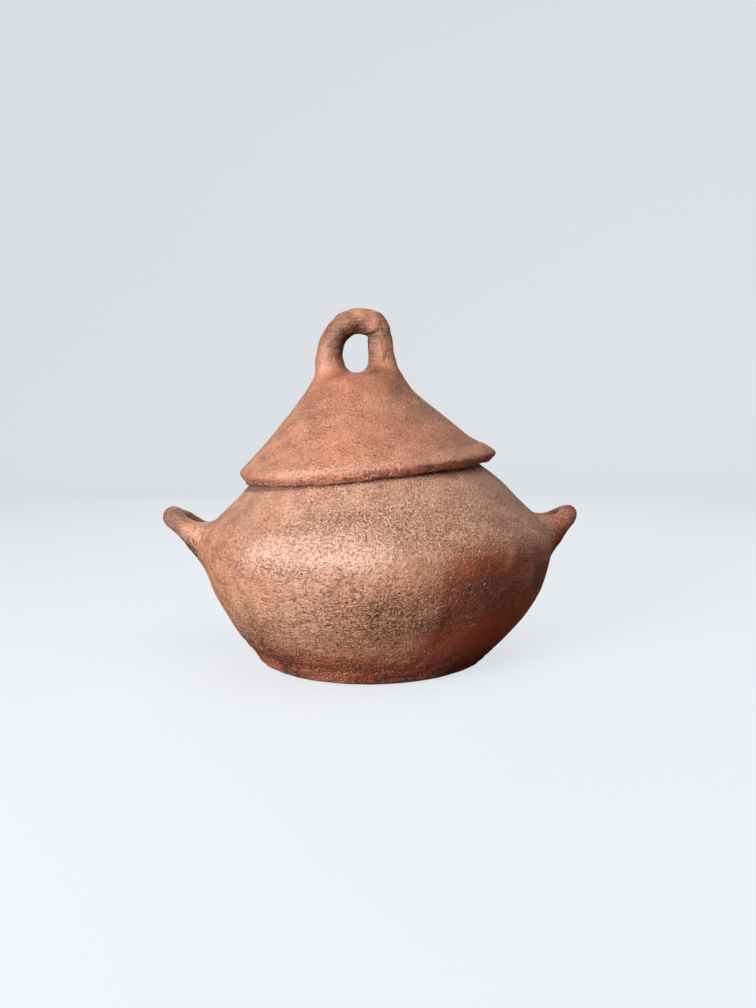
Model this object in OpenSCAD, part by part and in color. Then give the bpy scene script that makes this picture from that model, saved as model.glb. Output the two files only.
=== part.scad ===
// Hand-built lidded cooking pot: a round-bellied pot with two rope handles, and
// a conical lid with a rope loop on top. Millimetres, +Z up, and the origin is
// the centre of the flat face that the pot stands on. The handles lie along X.
//
// The pot's shoulder is part of a ball. The lid's seat is a ring on that ball,
// so the lid sits true at any lean, as a cap does on a round head.

/* [Pot] */
// Radius of the flat face that the pot stands on
base_r = 72; // [60:0.5:76]
// Radius of the rounded foot band, where the wall starts
foot_r = 80.5; // [78:0.5:92]
// Height of the foot band
foot_h = 5; // [3:0.5:9]
// Radius at the widest part of the belly
belly_r = 119; // [112:0.5:126]
// Height of the widest part of the belly
belly_h = 80; // [72:0.5:88]
// Fullness of the lower wall: 1 is a straight cone, more is rounder
belly_fullness = 1.9; // [1.5:0.05:2.4]
// How far the belly stands to the right of the foot
pot_lean = 4; // [0:0.5:8]
// Thickness of the pot's wall
pot_wall = 8; // [5:0.5:11]
// Thickness of the pot's floor
pot_floor = 10; // [6:0.5:14]

/* [Shoulder and mouth] */
// Radius of the ball that the shoulder belongs to
ball_r = 124.5; // [120:0.5:130]
// Height of the ball's centre above the floor it stands on
ball_h = 29.5; // [24:0.5:36]
// Height at which the shoulder becomes part of the ball
shoulder_h = 112; // [106:0.5:114]
// Inner radius of the mouth
mouth_r = 58; // [50:0.5:62]

/* [Handles] */
// Height of the left handle's roots
left_root_h = 81.5; // [76:0.5:90]
// Reach of the left handle from the wall to the middle of its bend
left_reach = 26.5; // [20:0.5:32]
// Half the distance between the left handle's roots
left_spread = 25; // [20:0.5:30]
// Radius of the left handle's rope
left_rope_r = 7; // [5:0.1:8.5]
// Turn of the left handle that lifts its front root and drops the back one
left_roll = 8; // [-12:1:12]
// Height of the right handle's roots
right_root_h = 85.5; // [78:0.5:92]
// Reach of the right handle from the wall to the middle of its bend
right_reach = 18.8; // [16:0.1:26]
// Half the distance between the right handle's roots
right_spread = 17; // [15:0.5:24]
// Radius of the right handle's rope
right_rope_r = 6.3; // [4.5:0.1:7.5]
// Turn of the right handle that lifts its front root and drops the back one
right_roll = 4; // [-12:1:12]
// Angle at which the handles rise from the wall
handle_rise = 35; // [20:1:45]
// Extra radius that the handles' roots spread to, where they join the wall
handle_flare = 3.6; // [2:0.1:5]

/* [Lid] */
// Lean of the lid on the shoulder, down to the left
lid_lean = 5.8; // [0:0.1:8]
// Radius of the ring on which the lid rests
seat_r = 79; // [74:0.5:82]
// Clearance between the lid's seat and the shoulder
seat_gap = 0.3; // [0.2:0.05:0.5]
// How far the rim stands out beyond the seat ring
rim_reach = 8; // [6:0.5:13]
// Height of the rim's outermost line above the seat
rim_h = 5; // [3.5:0.1:7]
// Depth of the rim's underside below the seat
rim_drop = 1.2; // [0.5:0.1:2]
// How much further the rim stands out on the right than all round
rim_uneven = 5; // [0:0.5:6]
// How far out the flank's lower end meets the rim, beyond the seat ring
flank_reach = 2.5; // [0:0.5:5]
// Height of the flank's lower end above the seat
flank_h = 12; // [10:0.5:14]
// Radius of the flank's upper end, where it meets the crown
crown_r = 30; // [27:0.5:36]
// Height of the flank's upper end above the seat
crown_h = 63.5; // [58:0.5:70]
// Rise of the rounded crown above the flank's upper end
crown_rise = 4.5; // [3:0.5:7]
// How far the flank dips below a straight cone
flank_dip = 1.7; // [0:0.1:3]
// How far the crown stands to the right of the seat
crown_shift = 1.6; // [0:0.1:3]
// Thickness of the lid's wall
lid_wall = 8.5; // [6:0.5:10]

/* [Lid loop] */
// Radius of the loop's rope
loop_rope_r = 8.8; // [6.5:0.1:9.5]
// Distance between the loop's legs, middle to middle
loop_span = 35.2; // [32:0.2:40]
// How far the loop stands to the right of the lid's axis
loop_shift = 4.6; // [0:0.2:6]
// Height of the rope's middle line above the crown, at its highest
loop_rise = 35.5; // [30:0.5:42]
// Distance of the highest point from the left leg
loop_peak = 21; // [16:0.5:24]
// Height that the long bend on the left takes up
left_bend = 25; // [20:0.5:28]
// Height that the tight bend on the right takes up
right_bend = 12.5; // [11:0.5:18]
// Extra radius that the loop's roots spread to
loop_flare = 2.2; // [1:0.1:4]

/* [Hidden] */

// Colours of the fired clay
pot_clay = [0.70, 0.46, 0.35];
handle_clay = [0.68, 0.43, 0.32];
lid_clay = [0.73, 0.44, 0.32];

// Facets round the pot and the lid, and round a rope
round_sides = 64;
rope_sides = 16;

// Rings on each stretch of the pot, from the foot over the lip to the floor
foot_steps = 4;
wall_steps = 11;
upper_steps = 5;
ball_steps = 4;
lip_steps = 5;
corner_steps = 4;

// Share of the belly's height over which the pot's lean grows
lean_share = 0.6;

// Radius of the rounding between the pot's wall and its floor, inside
inner_corner = 16;

// Rings on each stretch of the lid
ceiling_steps = 2;
flank_steps = 7;
rim_steps = 4;

// Height over the seat at which the lid's inner flank ends
inner_flank_h = 5;

// Angles off upright at which the roundings of the ceiling and the crown turn flat
ceiling_start = 30;
crown_end = 15;

// Rings on each bend of a rope, and how deep its roots start below the surface
bend_steps = 8;
root_depth = 12;

// Length of rope over which a root flares
flare_length = 18;

// ---- Curves --------------------------------------------------------------

function mix(a, b, t) = a + (b - a) * t;

// Point on a curve that leaves a towards b and arrives at c
function bend(a, b, c, t) = mix(mix(a, b, t), mix(b, c, t), t);

// Shares from 0 to 1 in n steps; skip leaves out the first ones
function shares(n, skip = 0) = [for (i = [skip : n]) i / n];

// Cubic from height a to height b with given radii and slopes at the ends
function cubic(ra, rb, slope_a, slope_b, length, t) =
    ra * (2 * pow(t, 3) - 3 * pow(t, 2) + 1)
    + rb * (3 * pow(t, 2) - 2 * pow(t, 3))
    + slope_a * length * (pow(t, 3) - 2 * pow(t, 2) + t)
    + slope_b * length * (pow(t, 3) - pow(t, 2));

// ---- Solid through a stack of rings --------------------------------------

// A ring is [radius, height, shift along X]. The stack may turn back down
// inside itself, which is how a hollow piece gets its inner wall.
function ring_points(ring) =
    [for (i = [0 : round_sides - 1])
        let (a = i * 360 / round_sides)
        [ring[2] + ring[0] * cos(a), ring[0] * sin(a), ring[1]]];

module ring_stack(rings) {
    n = round_sides;
    last = len(rings) - 1;
    points = [for (ring = rings) each ring_points(ring)];
    walls = [for (k = [0 : last - 1], i = [0 : n - 1])
        let (a = k * n + i, b = k * n + (i + 1) % n)
        each [[a, a + n, b + n], [a, b + n, b]]];
    first_cap = [for (i = [0 : n - 1]) i];
    last_cap = [for (i = [n - 1 : -1 : 0]) last * n + i];
    polyhedron(points, concat([first_cap], walls, [last_cap]));
}

// ---- Rope: links between neighbouring rings of points --------------------

// Ring of points round p, in the plane of the two directions u and v
function rope_ring(p, u, v, r) =
    [for (i = [0 : rope_sides - 1])
        let (a = i * 360 / rope_sides)
        p + r * (cos(a) * u + sin(a) * v)];

module rope(rings) {
    n = rope_sides;
    ends = [[for (i = [0 : n - 1]) i], [for (i = [n - 1 : -1 : 0]) n + i]];
    for (k = [0 : len(rings) - 2])
        hull()
            polyhedron(concat(rings[k], rings[k + 1]), ends);
}

// Extra radius at a distance along the rope from its root
function flare(extra, along) =
    extra * pow(max(0, 1 - max(0, along) / flare_length), 2);

// ---- Pot -----------------------------------------------------------------

function lower_r(z) =
    belly_r - (belly_r - foot_r)
        * pow(max(0, 1 - (z - foot_h) / (belly_h - foot_h)), belly_fullness);

// Radius and slope of the shoulder where it becomes part of the ball
shoulder_r = sqrt(pow(ball_r, 2) - pow(shoulder_h - ball_h, 2));
shoulder_slope = -(shoulder_h - ball_h) / shoulder_r;

function upper_r(z) =
    cubic(belly_r, shoulder_r, 0, shoulder_slope, shoulder_h - belly_h,
        (z - belly_h) / (shoulder_h - belly_h));

function ball_r_at(r, z) = sqrt(max(0, pow(r, 2) - pow(z - ball_h, 2)));

// Outer radius of the wall from the foot band up
function wall_r(z) =
    z < belly_h ? lower_r(z)
    : z < shoulder_h ? upper_r(z)
    : ball_r_at(ball_r, z);

// Radius of the inner wall: the outer one less the wall, square to its slope
function wall_slope(z) = (wall_r(z + 0.1) - wall_r(z - 0.1)) / 0.2;
function inner_r(z) =
    z < shoulder_h ? wall_r(z) - pot_wall * norm([1, wall_slope(z)])
    : ball_r_at(ball_r - pot_wall, z);

// The foot stays round the origin, and the belly stands over to the right
lean_h = belly_h * lean_share;
function lean_at(z) = pot_lean * (1 - pow(max(0, 1 - z / lean_h), 2));

// The lip is a half round at the end of the wall, on the ball's middle surface
lip_r = pot_wall / 2;
lip_ball_r = ball_r - lip_r;
lip_angle = asin((mouth_r + lip_r) / lip_ball_r);
shoulder_angle = asin(shoulder_r / ball_r);

function on_ball(r, angle) = [r * sin(angle), ball_h + r * cos(angle)];
function leaned(p) = [p[0], p[1], lean_at(p[1])];

outer_wall = concat(
    [for (t = shares(foot_steps))
        [mix(base_r, foot_r, sin(90 * t)), foot_h * (1 - cos(90 * t))]],
    [for (t = shares(wall_steps, 1))
        let (z = mix(foot_h, belly_h, t)) [lower_r(z), z]],
    [for (t = shares(upper_steps, 1))
        let (z = mix(belly_h, shoulder_h, t)) [upper_r(z), z]],
    [for (t = shares(ball_steps, 1))
        on_ball(ball_r, mix(shoulder_angle, lip_angle, t))]);

lip = [for (t = shares(lip_steps, 1))
    on_ball(lip_ball_r, lip_angle)
        + lip_r * [sin(lip_angle - 180 * t), cos(lip_angle - 180 * t)]];

// Inner shoulder, inner wall, and the rounding down to the floor
inner_shoulder_z = ball_h + (ball_r - pot_wall) * cos(shoulder_angle);
inner_foot_z = pot_floor + inner_corner;
corner_r = inner_r(inner_foot_z) - inner_corner * wall_slope(inner_foot_z);

inner_wall = concat(
    [for (t = shares(ball_steps, 1))
        on_ball(ball_r - pot_wall, mix(lip_angle, shoulder_angle, t))],
    [for (t = shares(wall_steps, 1))
        let (z = mix(inner_shoulder_z, inner_foot_z, t)) [inner_r(z), z]],
    [for (t = shares(corner_steps, 1))
        bend([inner_r(inner_foot_z), inner_foot_z], [corner_r, pot_floor],
            [corner_r - inner_corner, pot_floor], t)]);

module pot_body() {
    color(pot_clay)
        ring_stack([for (p = concat(outer_wall, lip, inner_wall)) leaned(p)]);
}

// The pot with its hollow filled, which handle roots are cut to
module pot_outside() {
    ring_stack([for (p = outer_wall) leaned(p)]);
}

// ---- Handles -------------------------------------------------------------

// A rope bent to half an ellipse, with both roots run on into the wall.
// side is 1 on the right and -1 on the left.
module handle(side, root_h, reach, spread, rope_r, roll) {
    root = [lean_at(root_h) + side * wall_r(root_h), 0, root_h];
    outward = [side * cos(handle_rise), 0, sin(handle_rise)];
    back = [0, 1, 0];
    up = side * cross(outward, back);
    across = cos(roll) * back - sin(roll) * up;
    square = cross(outward, across);
    sunk = asin(min(1, root_depth / reach));
    steps = 2 * bend_steps;
    rings = [for (t = shares(steps))
        let (
            a = mix(-sunk, 180 + sunk, t),
            p = root + reach * sin(a) * outward + spread * cos(a) * across,
            along = reach * cos(a) * outward - spread * sin(a) * across,
            sideways = cross(square, along / norm(along)),
            length = min(a, 180 - a) * PI / 180 * (reach + spread) / 2
        )
        rope_ring(p, sideways, square, rope_r + flare(handle_flare, length))];
    difference() {
        rope(rings);
        pot_outside();
    }
}

module handle_left() {
    color(handle_clay)
        handle(-1, left_root_h, left_reach, left_spread, left_rope_r, left_roll);
}

module handle_right() {
    color(handle_clay)
        handle(1, right_root_h, right_reach, right_spread, right_rope_r, right_roll);
}

// ---- Lid -----------------------------------------------------------------

// Distance of the seat ring's plane from the ball's centre
seat_distance = sqrt(pow(ball_r + seat_gap, 2) - pow(seat_r, 2));

// Puts what is modelled on the seat ring, upright, onto the leaning seat
module on_shoulder() {
    translate([lean_at(ball_h + ball_r), 0, ball_h])
        rotate([0, -lid_lean, 0])
            translate([0, 0, seat_distance])
                children();
}

// The rim and the flank's lower end stand out from the seat ring
rim_r = seat_r + rim_reach;
flank_r = seat_r + flank_reach;

function flank_share(z) = (z - flank_h) / (crown_h - flank_h);
function flank_r_at(z) =
    let (t = flank_share(z))
    mix(flank_r, crown_r, t) - 4 * flank_dip * t * (1 - t);
flank_slope = (flank_r - crown_r) / (crown_h - flank_h);
flank_wall = lid_wall * norm([1, flank_slope]);

// The inner flank ends below the crown, and the ceiling is a little rounded
ceiling_h = crown_h + crown_rise - lid_wall;
inner_top_h = ceiling_h - crown_rise;
inner_top_r = flank_r_at(inner_top_h) - flank_wall;

function shifted(p, share) = [p[0], p[1], crown_shift * share];

lid_inside = concat(
    [for (t = shares(ceiling_steps))
        let (a = mix(ceiling_start, 90, t))
        [inner_top_r * sin(a), inner_top_h + crown_rise * cos(a), crown_shift]],
    [for (t = shares(flank_steps, 1))
        let (z = mix(inner_top_h, inner_flank_h, t))
        [flank_r_at(z) - flank_wall, z, crown_shift * (1 - t)]],
    [[seat_r, 0, 0]]);

// Underside, outermost line and top of the rim, which stands out on the right
rim_corner = [mix(seat_r, rim_r, 0.7), -2 * rim_drop];
rim_tip = [rim_r, rim_h];
lid_rim = concat(
    [for (t = shares(rim_steps, 1))
        let (p = bend([seat_r, 0], rim_corner, rim_tip, t))
        [p[0], p[1], rim_uneven * t]],
    [for (t = shares(rim_steps, 1))
        let (p = bend(rim_tip, [rim_r, (rim_h + flank_h) / 2],
            [flank_r, flank_h], t))
        [p[0], p[1], rim_uneven * (1 - t)]]);

lid_outside = concat(
    [for (t = shares(flank_steps, 1))
        let (z = mix(flank_h, crown_h, t))
        [flank_r_at(z), z, crown_shift * t]],
    [for (t = shares(ceiling_steps, 1))
        let (a = mix(90, crown_end, t))
        [crown_r * sin(a), crown_h + crown_rise * cos(a), crown_shift]]);

module lid_cone() {
    color(lid_clay)
        on_shoulder()
            ring_stack(concat(lid_inside, lid_rim, lid_outside));
}

// The lid with its hollow filled, which the loop's roots are cut to
module lid_solid() {
    ring_stack(concat([[seat_r, 0, 0]], lid_rim, lid_outside));
}

// ---- Lid loop ------------------------------------------------------------

// Middle line of the rope: left leg, long bend, tight bend, right leg
left_leg_x = loop_shift - loop_span / 2;
right_leg_x = loop_shift + loop_span / 2;
peak_x = left_leg_x + loop_peak;
peak_z = crown_h + crown_rise + loop_rise;
foot_z = crown_h - root_depth;

// A step is [x, z, direction of the rope in degrees from upright]
loop_steps = concat(
    [for (t = shares(3))
        [left_leg_x, mix(foot_z, peak_z - left_bend, t), 0]],
    [for (t = shares(bend_steps, 1))
        let (a = 90 * t)
        [peak_x - loop_peak * cos(a), peak_z - left_bend * (1 - sin(a)),
            atan2(loop_peak * sin(a), left_bend * cos(a))]],
    [for (t = shares(bend_steps, 1))
        let (a = 90 * t)
        [peak_x + (right_leg_x - peak_x) * sin(a),
            peak_z - right_bend * (1 - cos(a)),
            90 + atan2(right_bend * sin(a), (right_leg_x - peak_x) * cos(a))]],
    [for (t = shares(3, 1))
        [right_leg_x, mix(peak_z - right_bend, foot_z, t), 180]]);

module lid_loop() {
    across = [0, 1, 0];
    rings = [for (s = loop_steps)
        let (
            p = [s[0], 0, s[1]],
            outward = [-cos(s[2]), 0, sin(s[2])],
            above_root = s[1] - crown_h
        )
        rope_ring(p, across, outward, loop_rope_r + flare(loop_flare, above_root))];
    color(lid_clay)
        on_shoulder()
            difference() {
                rope(rings);
                lid_solid();
            }
}

pot_body();
handle_left();
handle_right();
lid_cone();
lid_loop();
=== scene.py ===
"""Looks of the hand-built clay pot with rope handles and a leaning, looped lid.

Lengths inside the modelling code are millimetres in the row frame, and a mesh is scaled
to metres when it is made. The pot's handles lie along X, and -Y is the front.
"""
import math

import bpy
import numpy as np
from mathutils import Matrix, Vector


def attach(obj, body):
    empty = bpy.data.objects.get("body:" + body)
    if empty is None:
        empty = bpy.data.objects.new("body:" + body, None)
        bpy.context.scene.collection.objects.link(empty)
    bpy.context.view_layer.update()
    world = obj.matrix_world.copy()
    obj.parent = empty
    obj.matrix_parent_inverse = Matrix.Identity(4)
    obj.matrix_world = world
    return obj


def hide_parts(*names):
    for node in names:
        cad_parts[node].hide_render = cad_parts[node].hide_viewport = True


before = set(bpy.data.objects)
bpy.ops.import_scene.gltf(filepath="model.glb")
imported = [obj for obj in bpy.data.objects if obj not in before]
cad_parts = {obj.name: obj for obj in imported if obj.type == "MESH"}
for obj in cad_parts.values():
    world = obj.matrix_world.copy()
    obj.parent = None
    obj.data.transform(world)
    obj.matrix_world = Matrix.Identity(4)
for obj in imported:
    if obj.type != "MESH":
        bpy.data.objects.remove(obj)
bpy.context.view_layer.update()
MM = 0.001

# ---- Camera: stands where the photograph was taken from -------------------------------

CAMERA_MM = (5.2, -542.5, 153.7)
CAMERA_PITCH = 5.21      # degrees below level
CAMERA_ROLL = -0.5
FRAME_HEIGHT_PX = 1008
FOCAL_PX = 784
SENSOR_MM = 36


def make_camera():
    data = bpy.data.cameras.new("camera")
    data.sensor_fit = "VERTICAL"
    data.sensor_height = SENSOR_MM
    data.lens = SENSOR_MM * FOCAL_PX / FRAME_HEIGHT_PX
    data.clip_start = 0.02
    camera = bpy.data.objects.new("camera", data)
    bpy.context.scene.collection.objects.link(camera)
    tilt = Matrix.Rotation(math.radians(90 - CAMERA_PITCH), 4, "X")
    roll = Matrix.Rotation(math.radians(CAMERA_ROLL), 4, "Z")
    camera.matrix_world = Matrix.Translation(Vector(CAMERA_MM) * MM) @ tilt @ roll
    bpy.context.scene.camera = camera


# ---- Sizes, as in the solids ----------------------------------------------------------

BASE_R = 72
FOOT_R = 80.5
FOOT_H = 5
BELLY_R = 119
BELLY_H = 80
BELLY_FULLNESS = 1.9
POT_LEAN = 4
LEAN_H = 0.6 * BELLY_H
POT_WALL = 8
POT_FLOOR = 10
INNER_CORNER = 16
BALL_R = 124.5           # the shoulder is part of a ball with its middle at BALL_H
BALL_H = 29.5
SHOULDER_H = 112
WALL_TOP = SHOULDER_H + 15
MOUTH_R = 58
LIP_R = POT_WALL / 2

HANDLE_RISE = 35
HANDLE_FLARE = 3.6
FLARE_LENGTH = 18
HANDLES = {
    "left": dict(side=-1, root_h=81.5, reach=26.5, spread=25, rope_r=7.0, roll=8),
    "right": dict(side=1, root_h=85.5, reach=18.8, spread=17, rope_r=6.3, roll=4),
}

LID_LEAN = 5.8
SEAT_R = 79              # ring on which the lid rests on the ball
SEAT_GAP = 0.3
RIM_R = 87
RIM_H = 5
RIM_DROP = 1.2
RIM_UNEVEN = 5
FLANK_R = 81.5
FLANK_H = 12
CROWN_R = 30
CROWN_H = 63.5
CROWN_RISE = 4.5
CROWN_SHIFT = 1.6
FLANK_DIP = 1.7
LID_WALL = 8.5

LOOP_ROPE_R = 8.8
LOOP_FLARE = 2.2
LOOP_SPAN = 35.2
LOOP_SHIFT = 4.6
LOOP_RISE = 35.5
LOOP_PEAK = 21
LEFT_BEND = 25
RIGHT_BEND = 12.5
ROOT_DEPTH = 12


# ---- Repeatable noise -----------------------------------------------------------------

def lattice(cell, salt):
    """Random numbers from 0 to 1, always the same for the same whole-number cell."""
    c = cell.astype(np.int64).astype(np.uint32)
    h = c[:, 0] * np.uint32(374761393) + c[:, 1] * np.uint32(668265263)
    h = h + c[:, 2] * np.uint32(2246822519) + np.uint32(salt * 40503 + 977)
    h = (h ^ (h >> np.uint32(13))) * np.uint32(1274126177)
    h = (h ^ (h >> np.uint32(15))) * np.uint32(2654435761)
    return (h ^ (h >> np.uint32(16))).astype(float) / 2 ** 32


def corners(steps):
    return [np.array((i, j, k)) for i in steps for j in steps for k in steps]


def noise(p, size, salt):
    """Smooth gradient noise, about -1 to 1. size is one length or three, in mm."""
    q = p / np.asarray(size, float)
    cell = np.floor(q)
    f = q - cell
    w = f ** 3 * (f * (f * 6 - 15) + 10)
    total = np.zeros(len(p))
    for corner in corners((0, 1)):
        at = cell + corner
        weight = np.prod(np.where(corner == 1, w, 1 - w), axis=1)
        away = f - corner
        slope = sum((2 * lattice(at, salt + 7 * a) - 1) * away[:, a] for a in range(3))
        total += weight * slope
    return total * 1.6


def layered(p, size, salt, layers=3, gain=0.5):
    """Noise with finer and weaker layers added."""
    size = np.asarray(size, float)
    total = np.zeros(len(p))
    for k in range(layers):
        total += gain ** k * noise(p, size / 2 ** k, salt + 31 * k)
    return total


def pits(p, size, salt):
    """Distance to the nearest scattered point, in cells, and that point's own number."""
    q = p / np.asarray(size, float)
    cell = np.floor(q)
    near = np.full(len(p), 9.0)
    own = np.zeros(len(p))
    for step in corners((-1, 0, 1)):
        at = cell + step
        spot = np.stack([lattice(at, salt + 11 * a) for a in range(3)], 1)
        away = np.linalg.norm(at + spot - q, axis=1)
        closer = away < near
        near = np.where(closer, away, near)
        own = np.where(closer, spot[:, 0], own)
    return near, own


def ramp(x, low, high):
    """0 below low, 1 above high, smooth between. low may be the larger one."""
    t = np.clip((x - low) / (high - low), 0, 1)
    return t * t * (3 - 2 * t)


def mix(a, b, t):
    return a + (b - a) * t


# ---- Outlines -------------------------------------------------------------------------

def bend(a, b, c, t):
    """Points on a curve that leaves a towards b and arrives at c."""
    a, b, c = (np.asarray(x, float) for x in (a, b, c))
    t = np.asarray(t)[:, None]
    return mix(mix(a, b, t), mix(b, c, t), t)


def ball_r_at(r, z):
    return np.sqrt(np.maximum(r ** 2 - (z - BALL_H) ** 2, 1))


def wall_r(z):
    """Outer radius of the pot's wall at a height."""
    z = np.asarray(z, float)
    t = np.clip((z - FOOT_H) / (BELLY_H - FOOT_H), 0, 1)
    lower = BELLY_R - (BELLY_R - FOOT_R) * (1 - t) ** BELLY_FULLNESS
    top_r = ball_r_at(BALL_R, SHOULDER_H)
    top_slope = -(SHOULDER_H - BALL_H) / top_r
    u = np.clip((z - BELLY_H) / (SHOULDER_H - BELLY_H), 0, 1)
    upper = (BELLY_R * (2 * u ** 3 - 3 * u ** 2 + 1) + top_r * (3 * u ** 2 - 2 * u ** 3)
             + top_slope * (SHOULDER_H - BELLY_H) * (u ** 3 - u ** 2))
    return np.where(z < BELLY_H, lower, np.where(z < SHOULDER_H, upper, ball_r_at(BALL_R, z)))


def wall_slope(z):
    return (wall_r(z + 0.1) - wall_r(z - 0.1)) / 0.2


def inner_r(z):
    square = wall_r(z) - POT_WALL * np.hypot(1, wall_slope(z))
    return np.where(z < SHOULDER_H, square, ball_r_at(BALL_R - POT_WALL, z))


def lean_at(z):
    return POT_LEAN * (1 - np.clip(1 - np.asarray(z, float) / LEAN_H, 0, 1) ** 2)


def evenly(points, spacing):
    """The outline again, with points a given length apart."""
    points = np.asarray(points, float)
    along = np.r_[0, np.cumsum(np.linalg.norm(np.diff(points, axis=0), axis=1))]
    count = max(2, int(round(along[-1] / spacing)))
    wanted = np.linspace(0, along[-1], count + 1)
    return np.stack([np.interp(wanted, along, points[:, k]) for k in range(points.shape[1])], 1)


def pot_outline(fine, coarse):
    """From the middle of the base, up the outside, over the lip, down to the inner floor."""
    t = np.linspace(0, 1, 200)
    lip_ball_r = BALL_R - LIP_R
    lip_angle = math.asin((MOUTH_R + LIP_R) / lip_ball_r)
    shoulder_angle = math.asin(float(ball_r_at(BALL_R, SHOULDER_H)) / BALL_R)

    def on_ball(r, angle):
        return np.stack([r * np.sin(angle), BALL_H + r * np.cos(angle)], 1)

    base = np.stack([t * BASE_R, 0 * t], 1)
    foot = np.stack([BASE_R + (FOOT_R - BASE_R) * np.sin(t * math.pi / 2),
                     FOOT_H * (1 - np.cos(t * math.pi / 2))], 1)
    z = mix(FOOT_H, SHOULDER_H, t)
    wall = np.stack([wall_r(z), z], 1)
    shoulder = on_ball(BALL_R, mix(shoulder_angle, lip_angle, t))
    turn = lip_angle - math.pi * t
    middle = on_ball(lip_ball_r, np.array([lip_angle]))
    lip = middle + LIP_R * np.stack([np.sin(turn), np.cos(turn)], 1)
    inner_top = BALL_H + (BALL_R - POT_WALL) * math.cos(shoulder_angle)
    inner_foot = POT_FLOOR + INNER_CORNER
    zi = mix(inner_top, inner_foot, t)
    corner_r = float(inner_r(inner_foot) - INNER_CORNER * wall_slope(inner_foot))
    inside = np.concatenate([
        on_ball(BALL_R - POT_WALL, mix(lip_angle, shoulder_angle, t)),
        np.stack([inner_r(zi), zi], 1),
        bend((float(inner_r(inner_foot)), inner_foot), (corner_r, POT_FLOOR),
             (corner_r - INNER_CORNER, POT_FLOOR), t),
        np.array([[0, POT_FLOOR]])])
    return np.concatenate([
        evenly(base, 4 * coarse),
        evenly(np.concatenate([foot, wall, shoulder, lip]), fine)[1:],
        evenly(inside, coarse)[1:]])


FLANK_SLOPE = (FLANK_R - CROWN_R) / (CROWN_H - FLANK_H)


def flank_r_at(z):
    t = (z - FLANK_H) / (CROWN_H - FLANK_H)
    return mix(FLANK_R, CROWN_R, t) - 4 * FLANK_DIP * t * (1 - t)


def lid_outline(fine, coarse):
    """Radius, height and shift along X: ceiling, inner flank, rim, flank and crown."""
    t = np.linspace(0, 1, 120)
    wall = LID_WALL * math.hypot(1, FLANK_SLOPE)
    top_h = CROWN_H - LID_WALL
    top_r = flank_r_at(top_h) - wall
    a = t * math.pi / 2
    ceiling = np.stack([top_r * np.sin(a), top_h + CROWN_RISE * np.cos(a), 0 * t + CROWN_SHIFT], 1)
    z = mix(top_h, RIM_H, t)
    inner = np.stack([flank_r_at(z) - wall, z, CROWN_SHIFT * (1 - t)], 1)
    seat = np.array([[SEAT_R, 0, 0]])
    corner = (mix(SEAT_R, RIM_R, 0.7), -2 * RIM_DROP)
    under = np.c_[bend((SEAT_R, 0), corner, (RIM_R, RIM_H), t), RIM_UNEVEN * t]
    over = np.c_[bend((RIM_R, RIM_H), (RIM_R, (RIM_H + FLANK_H) / 2), (FLANK_R, FLANK_H), t),
                 RIM_UNEVEN * (1 - t)]
    z = mix(FLANK_H, CROWN_H, t)
    flank = np.stack([flank_r_at(z), z, CROWN_SHIFT * t], 1)
    crown = np.stack([CROWN_R * np.cos(a), CROWN_H + CROWN_RISE * np.sin(a), 0 * t + CROWN_SHIFT], 1)
    return np.concatenate([
        evenly(np.concatenate([ceiling, inner, seat]), coarse),
        evenly(np.concatenate([seat, under, over, flank, crown]), fine)[1:]])


# ---- Seat of the lid ------------------------------------------------------------------

SEAT_DISTANCE = math.sqrt((BALL_R + SEAT_GAP) ** 2 - SEAT_R ** 2)
LID_TURN = np.array(Matrix.Rotation(math.radians(-LID_LEAN), 3, "Y"))
BALL_CENTRE = np.array([POT_LEAN, 0, BALL_H])
LID_UP = LID_TURN @ np.array([0, 0, SEAT_DISTANCE])


def lid_to_row(p):
    return p @ LID_TURN.T + BALL_CENTRE + LID_UP


def row_to_lid(p):
    return (p - BALL_CENTRE - LID_UP) @ LID_TURN


# ---- Ropes ----------------------------------------------------------------------------

def flare(extra, along):
    """Extra radius at a distance along the rope from its root."""
    return extra * np.clip(1 - np.maximum(0, along) / FLARE_LENGTH, 0, 1) ** 2


def handle_line(side, root_h, reach, spread, rope_r, roll, count=60):
    """Middle points of a handle's rope, and its radius at each of them."""
    root = np.array([lean_at(root_h) + side * wall_r(root_h), 0, root_h])
    rise, turn = math.radians(HANDLE_RISE), math.radians(roll)
    outward = np.array([side * math.cos(rise), 0, math.sin(rise)])
    back = np.array([0, 1, 0])
    up = side * np.cross(outward, back)
    across = math.cos(turn) * back - math.sin(turn) * up
    sunk = math.asin(ROOT_DEPTH / reach)
    a = np.linspace(-sunk, math.pi + sunk, count)[:, None]
    line = root + reach * np.sin(a) * outward + spread * np.cos(a) * across
    from_root = np.minimum(a, math.pi - a)[:, 0] * (reach + spread) / 2
    return line, rope_r + flare(HANDLE_FLARE, from_root), np.cross(outward, across)


def loop_line(count=50):
    """Middle points of the lid's loop, in the lid's own frame."""
    left = LOOP_SHIFT - LOOP_SPAN / 2
    right = LOOP_SHIFT + LOOP_SPAN / 2
    peak = np.array([left + LOOP_PEAK, CROWN_H + CROWN_RISE + LOOP_RISE])
    foot = CROWN_H - ROOT_DEPTH
    a = np.linspace(0, math.pi / 2, count)
    rising = np.stack([peak[0] - LOOP_PEAK * np.cos(a), peak[1] - LEFT_BEND * (1 - np.sin(a))], 1)
    falling = np.stack([peak[0] + (right - peak[0]) * np.sin(a),
                        peak[1] - RIGHT_BEND * (1 - np.cos(a))], 1)
    line = np.concatenate([[[left, foot]], rising, falling[1:], [[right, foot]]])
    line = evenly(line, 2.0)
    line = np.stack([line[:, 0], 0 * line[:, 0], line[:, 1]], 1)
    radii = LOOP_ROPE_R + flare(LOOP_FLARE, line[:, 2] - CROWN_H)
    return line, radii, np.array([0.0, 1.0, 0.0])


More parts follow.
